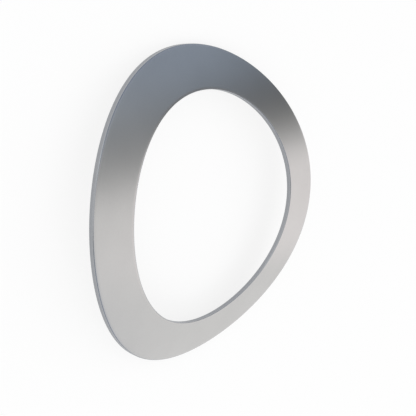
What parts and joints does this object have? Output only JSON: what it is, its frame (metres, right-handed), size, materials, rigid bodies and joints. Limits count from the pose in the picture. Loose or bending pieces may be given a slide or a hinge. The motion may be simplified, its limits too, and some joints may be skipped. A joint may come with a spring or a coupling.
{
  "type": "curved washer",
  "caption": "Thin flat ring of spring steel bent into a shallow arch, which sits round a shaft or screw and takes up end play under light spring load.",
  "frame": {"origin": "middle of the footprint, on the plane that the two ends of the arch stand on, on the axis of the hole", "axes": "+Z along the axis of the hole, towards the crown of the arch; +X across the bend, towards one end of the arch; +Y along the straight lines of the arched faces"},
  "size_m": [0.03, 0.03, 0.004],
  "materials": {
    "spring_steel": "smooth satin cold-rolled strip, uncoated, with a very fine rolled grain that runs along the arch, square to the bend axis, and plain sheared walls that are a little darker and duller than the faces"
  },
  "bodies": {
    "root": {"curved_washer": "spring_steel"}
  },
  "joints": []
}
